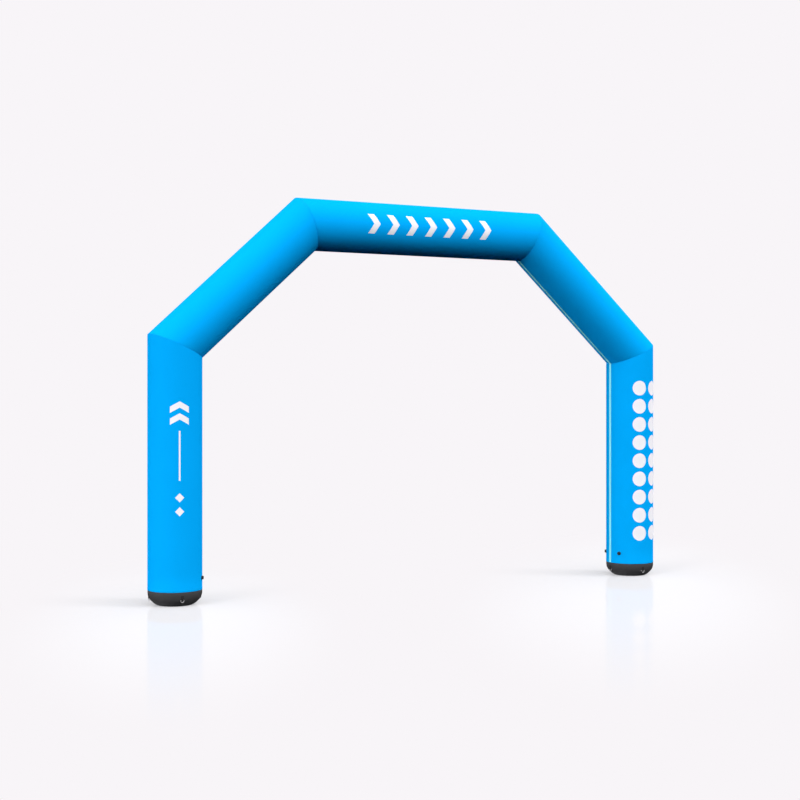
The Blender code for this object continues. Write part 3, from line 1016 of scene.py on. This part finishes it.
def valve_profile():
    """Turned outline of a valve as (radius, height over its seat, share of the cap's grips)."""
    cap, flange, top = VALVE_CAP_RADIUS, VALVE_FLANGE_THICKNESS, VALVE_PROUD
    foot = rounded_edge(VALVE_FLANGE_RADIUS, flange, VALVE_EDGE)
    foot += [(cap + past, flange + rise) for past, rise in CAP_FOOT]
    grips = [(cap, flange + GRIPS_START), (cap, top - GRIPS_STOP)]
    crown = [(cap, top - CROWN_START)] + rounded_edge(cap, top, VALVE_EDGE)
    crown += [(cap + past, top + rise) for past, rise in CAP_DISH]
    crown += [(cap * share, top + rise) for share, rise in CAP_HUB]
    stretches = ((foot, 0), (grips, 1), (crown, 0))
    return [(*point, gripped) for stretch, gripped in stretches for point in stretch]


def valve_mesh(fitting):
    """A valve with a flange that follows the round of the tube, and a gripped cap."""
    turn = 2 * math.pi * np.arange(VALVE_SIDES) / VALVE_SIDES
    seat = TUBE_RADIUS + GAP
    grip = GRIP_DEPTH * (1 - np.cos(turn * VALVE_GRIPS)) / 2
    rings = []
    for share in VALVE_BACK_SHARES:
        radius = VALVE_FLANGE_RADIUS * share
        across, height = radius * np.cos(turn), VALVE_HEIGHT + radius * np.sin(turn)
        rings.append(fitting.points(np.sqrt(seat ** 2 - across ** 2), across, height))
    for radius, rise, gripped in valve_profile():
        radius = radius - grip * gripped
        across, height = radius * np.cos(turn), VALVE_HEIGHT + radius * np.sin(turn)
        rings.append(fitting.points(seat + rise, across, height))
    return skin(rings, sharp=40.0)


def make_valves(material):
    for side, (x, inwards) in SIDES.items():
        for place, across in (("front", -1), ("back", 1)):
            direction = (inwards * math.cos(VALVE_BEARING), across * math.sin(VALVE_BEARING))
            name = f"valve_{side}_{place}"
            add_piece("air_" + name, valve_mesh(Fitting(x, direction)), material, [name])


def bar_centre():
    """Middle of the straight bar of a D-ring, as (distance from the leg's axis, height)."""
    return boot_point(RING_BAR_BEARING, GAP + WEBBING_THICKNESS + WEBBING_PLAY + WIRE_RADIUS)


def ring_path():
    """Centre line of a D-ring as (across, height), with the straight bar on top."""
    top = bar_centre()[1]
    corner = (RING_HALF_WIDTH - RING_CORNER, top - RING_CORNER)
    bow = (0.0, top - RING_HEIGHT + RING_HALF_WIDTH)
    right = arc(corner, RING_CORNER, QUARTER_TURN, 0, RING_CORNER_STEPS)
    right += arc(bow, RING_HALF_WIDTH, 0, -QUARTER_TURN, RING_BOW_STEPS)
    left = [(-across, height) for across, height in reversed(right[:-1])]
    return np.array(right + left)


def ring_mesh(fitting):
    """A D-ring of round wire that hangs straight down."""
    turn = 2 * math.pi * np.arange(WIRE_SIDES) / WIRE_SIDES
    far = bar_centre()[0] + WIRE_RADIUS * np.cos(turn)
    rows = offset_rows(ring_path(), WIRE_RADIUS * np.sin(turn), closed=True)
    return skin([fitting.points(far, across, height) for across, height in rows], loop=True)


def tab_centre_line():
    """Middle of a tab's webbing as (radius, height): down the boot, round the bar and up again."""
    inner = GAP + WEBBING_THICKNESS / 2
    outer = inner + WEBBING_THICKNESS + FOLD_GAP
    bend = WIRE_RADIUS + WEBBING_PLAY + WEBBING_THICKNESS / 2
    down = np.linspace(TAB_TOP_BEARING, RING_BAR_BEARING, TAB_ARC_STEPS, endpoint=False)
    first = RING_BAR_BEARING + QUARTER_TURN
    up = np.linspace(TAB_CLOSES_AT, TAB_TOP_BEARING, TAB_ARC_STEPS)
    line = [boot_point(bearing, inner) for bearing in down]
    line += arc(bar_centre(), bend, first, first + math.pi, TAB_BEND_STEPS)
    line += [boot_point(bearing, outer) for bearing in up]
    return np.array(line)


def tab_mesh(fitting):
    """A strip of webbing with soft edges, folded round the bar of its D-ring, and the strip's length."""
    line = tab_centre_line()
    half, thick = TAB_WIDTH / 2, WEBBING_THICKNESS / 2
    edge, low = half - WEBBING_EDGE, thick * WEBBING_EDGE_SHARE
    upper = [(-edge, low)] + [(half * share, thick) for share in WEBBING_FACE] + [(edge, low), (half, 0.0)]
    across, rise = np.array(upper + [(-across, -rise) for across, rise in upper]).T
    rings = [fitting.points(far, across, height) for far, height in offset_rows(line, -rise)]
    travelled = distances(line)
    uv = cloth_grid(np.append(across, across[0]), travelled[:, None])
    return skin(rings, uv, sharp=60.0), travelled[-1]


def box_stitches(fitting):
    """The crossed box of stitches through both layers of a tab."""
    stand_off = GAP + 2 * WEBBING_THICKNESS + FOLD_GAP
    half = TAB_WIDTH / 2 - BOX_STITCH_INSET
    margin = BOX_STITCH_MARGIN / BOOT_ROUNDING
    low, high = TAB_CLOSES_AT + margin, TAB_TOP_BEARING - margin
    corners = np.array(((-half, low), (half, low), (half, high), (-half, high)))
    runs = []
    for first, last in ((0, 1), (1, 2), (2, 3), (3, 0), (0, 2), (1, 3)):
        points, normals = [], []
        for share in np.linspace(0, 1, BOX_STITCH_STEPS):
            across, bearing = corners[first] * (1 - share) + corners[last] * share
            radius, height = boot_point(bearing, stand_off)
            points.append(fitting.points(radius, across, height)[0])
            normals.append(fitting.out * math.sin(bearing) - UP * math.cos(bearing))
        runs.append(stitch_run(points, normals, closed=False, pitch=BOX_STITCH_PITCH))
    return runs


def make_rings(metal, webbing_cloth, thread_black):
    for side, (x, inwards) in SIDES.items():
        runs = []
        places = {"front": (0, -1), "back": (0, 1), "inner": (inwards, 0), "outer": (-inwards, 0)}
        for place, direction in places.items():
            fitting = Fitting(x, direction)
            name = f"{side}_{place}"
            ring = add_piece("d_ring_" + name, ring_mesh(fitting), metal, ["ring_" + name])
            mesh, length = tab_mesh(fitting)
            tab = add_piece("webbing_" + name, mesh, webbing_cloth, ["tab_" + name])
            runs += box_stitches(fitting)
        add_piece("stitches_tabs_" + side, stitches_mesh(runs), thread_black)


# ==== stage, light and camera
def make_stage():
    """A plain pale floor. It gives the arch no bounced light, which keeps the undersides deep."""
    half = FLOOR_SIZE / 2
    mesh = bpy.data.meshes.new("floor")
    corners = [(-half, -half, 0), (half, -half, 0), (half, half, 0), (-half, half, 0)]
    mesh.from_pydata(corners, [], [(0, 1, 2, 3)])
    floor = bpy.data.objects.new("floor", mesh)
    bpy.context.collection.objects.link(floor)
    mesh.materials.append(pale_floor())
    floor.visible_diffuse = False
    floor.visible_glossy = False
    floor.visible_shadow = False
    make_floor_lights(floor)


def pale_floor():
    """Matt with a soft gloss and a painted glow in the pools of light, and fading into the backdrop outside
    them.
    """
    material = bpy.data.materials.new("pale_floor")
    material.use_nodes = True
    graph = Graph(material.node_tree)
    graph.nodes.remove(graph.nodes["Principled BSDF"])
    matt = graph.add("BsdfDiffuse", "BSDF", {"Color": FLOOR_ALBEDO})
    # painted light: the floor glows in the pools near the feet
    glow = graph.add("Emission", "Emission", {"Color": FLOOR_GLOW})
    lit = graph.add("AddShader", "Shader", {0: matt, 1: glow})
    gloss = graph.add("BsdfGlossy", "BSDF", {"Roughness": FLOOR_ROUGHNESS})
    near = graph.add("MixShader", "Shader", {"Fac": FLOOR_GLOSS, 1: lit, 2: gloss})
    far = graph.add("Emission", "Emission", {"Color": BACKGROUND})
    faded = graph.add("MixShader", "Shader", {"Fac": pool_mask(graph), 1: far, 2: near})
    graph.feed(graph.nodes["Material Output"].inputs["Surface"], faded)
    return material


def pool_mask(graph):
    """1 on the floor near either foot, falling smoothly to 0 at the edge of its pool of light."""
    place = graph.add("TexCoord", "Object")
    masks = []
    for x, reach, forward in POOLS:
        towards = Vector((CAMERA_PLACE[0] - x, CAMERA_PLACE[1])).normalized()
        pool = {
            "Vector": place,
            "Location": (x + forward * towards.x, forward * towards.y, 0),
            "Rotation": (0, 0, math.atan2(towards.y, towards.x) + QUARTER_TURN),
            "Scale": (*reach, 1),
        }
        offset = graph.add("Mapping", "Vector", pool, vector_type="TEXTURE")
        distance = graph.add("VectorMath", "Value", {0: offset}, operation="LENGTH")
        masks.append(graph.spread(distance, 1.0, 0.0, POOL_CORE, 1.0, interpolation_type="SMOOTHSTEP"))
    return graph.math("MAXIMUM", *masks)


def make_floor_lights(floor):
    """Low light from either side, on the floor alone, which draws the thin shadows beside the feet."""
    lit_by_them = bpy.data.collections.new("lit_from_the_sides")
    lit_by_them.objects.link(floor)
    for name, heading, strength in FLOOR_LIGHTS:
        lamp = bpy.data.lights.new(name, "SUN")
        lamp.energy = strength
        lamp.angle = FLOOR_LIGHT_WIDTH
        light = bpy.data.objects.new(name, lamp)
        beam = Vector((math.cos(heading), math.sin(heading), -math.tan(FLOOR_LIGHT_RISE)))
        light.rotation_euler = beam.to_track_quat("-Z", "Y").to_euler()
        light.visible_glossy = False
        light.light_linking.receiver_collection = lit_by_them
        bpy.context.collection.objects.link(light)


def dome_level(graph, height, levels):
    """Brightness of a lobe at a height, in straight slopes between the listed heights."""
    ramp = graph.add("ValToRGB", "Color", {"Fac": height})
    stops = ramp.node.color_ramp.elements
    stops[0].position, stops[1].position = DOME_HEIGHTS[0], DOME_HEIGHTS[-1]
    for stop_height in DOME_HEIGHTS[1:-1]:
        stops.new(stop_height)
    for stop, level in zip(stops, levels):
        stop.color = (level, level, level, 1)
    return ramp


def make_light():
    """A soft studio dome of four lobes, behind an even pale backdrop."""
    world = bpy.data.worlds.new("studio")
    bpy.context.scene.world = world
    bpy.context.scene.view_settings.view_transform = "Standard"
    world.use_nodes = True
    graph = Graph(world.node_tree)
    calc = graph.math
    axes = graph.axes(graph.add("TexCoord", "Generated"))
    height = axes["Z"]
    level_reach = calc("SQRT", calc("SUBTRACT", 1.0, calc("MULTIPLY", height, height)))
    total = 0.0
    for axis, sign, falloff, levels in DOME_LOBES.values():
        facing = calc("MAXIMUM", calc("DIVIDE", calc("MULTIPLY", axes[axis], sign), level_reach), 0.0)
        level = dome_level(graph, height, levels)
        total = calc("MULTIPLY_ADD", level, calc("POWER", facing, falloff), total)
    above = calc("GREATER_THAN", height, 0.0)
    strength = calc("MULTIPLY", calc("MULTIPLY", total, above), DOME_STRENGTH)
    dome = graph.add("Background", "Background", {"Color": (1, 1, 1), "Strength": strength})
    backdrop = graph.add("Background", "Background", {"Color": BACKGROUND})
    rays = graph.add("LightPath", "Is Camera Ray").node.outputs
    seen = calc("MAXIMUM", rays["Is Camera Ray"], calc("MULTIPLY", rays["Is Glossy Ray"], above))
    mixed = graph.add("MixShader", "Shader", {"Fac": seen, 1: dome, 2: backdrop})
    graph.feed(graph.nodes["World Output"].inputs["Surface"], mixed)


def make_camera():
    data = bpy.data.cameras.new("camera")
    data.lens = CAMERA_LENS
    data.sensor_width = CAMERA_SENSOR
    data.shift_x, data.shift_y = CAMERA_SHIFT
    camera = bpy.data.objects.new("camera", data)
    camera.location = CAMERA_PLACE
    camera.rotation_euler = (QUARTER_TURN, 0, CAMERA_TURN)
    bpy.context.collection.objects.link(camera)
    bpy.context.scene.camera = camera


def main():
    thread_blue = thread("thread_blue", THREAD_BLUE)
    thread_pale = thread("thread_pale", THREAD_PALE)
    thread_black = thread("thread_black", THREAD_BLACK)
    make_tubes(thread_blue)
    make_boots(boot_cloth(), thread_black)
    make_zips(zip_tape(), zip_teeth(), thread_pale)
    make_valves(valve_plastic())
    make_rings(ring_metal(), webbing(), thread_black)
    make_stage()
    make_light()
    make_camera()


main()
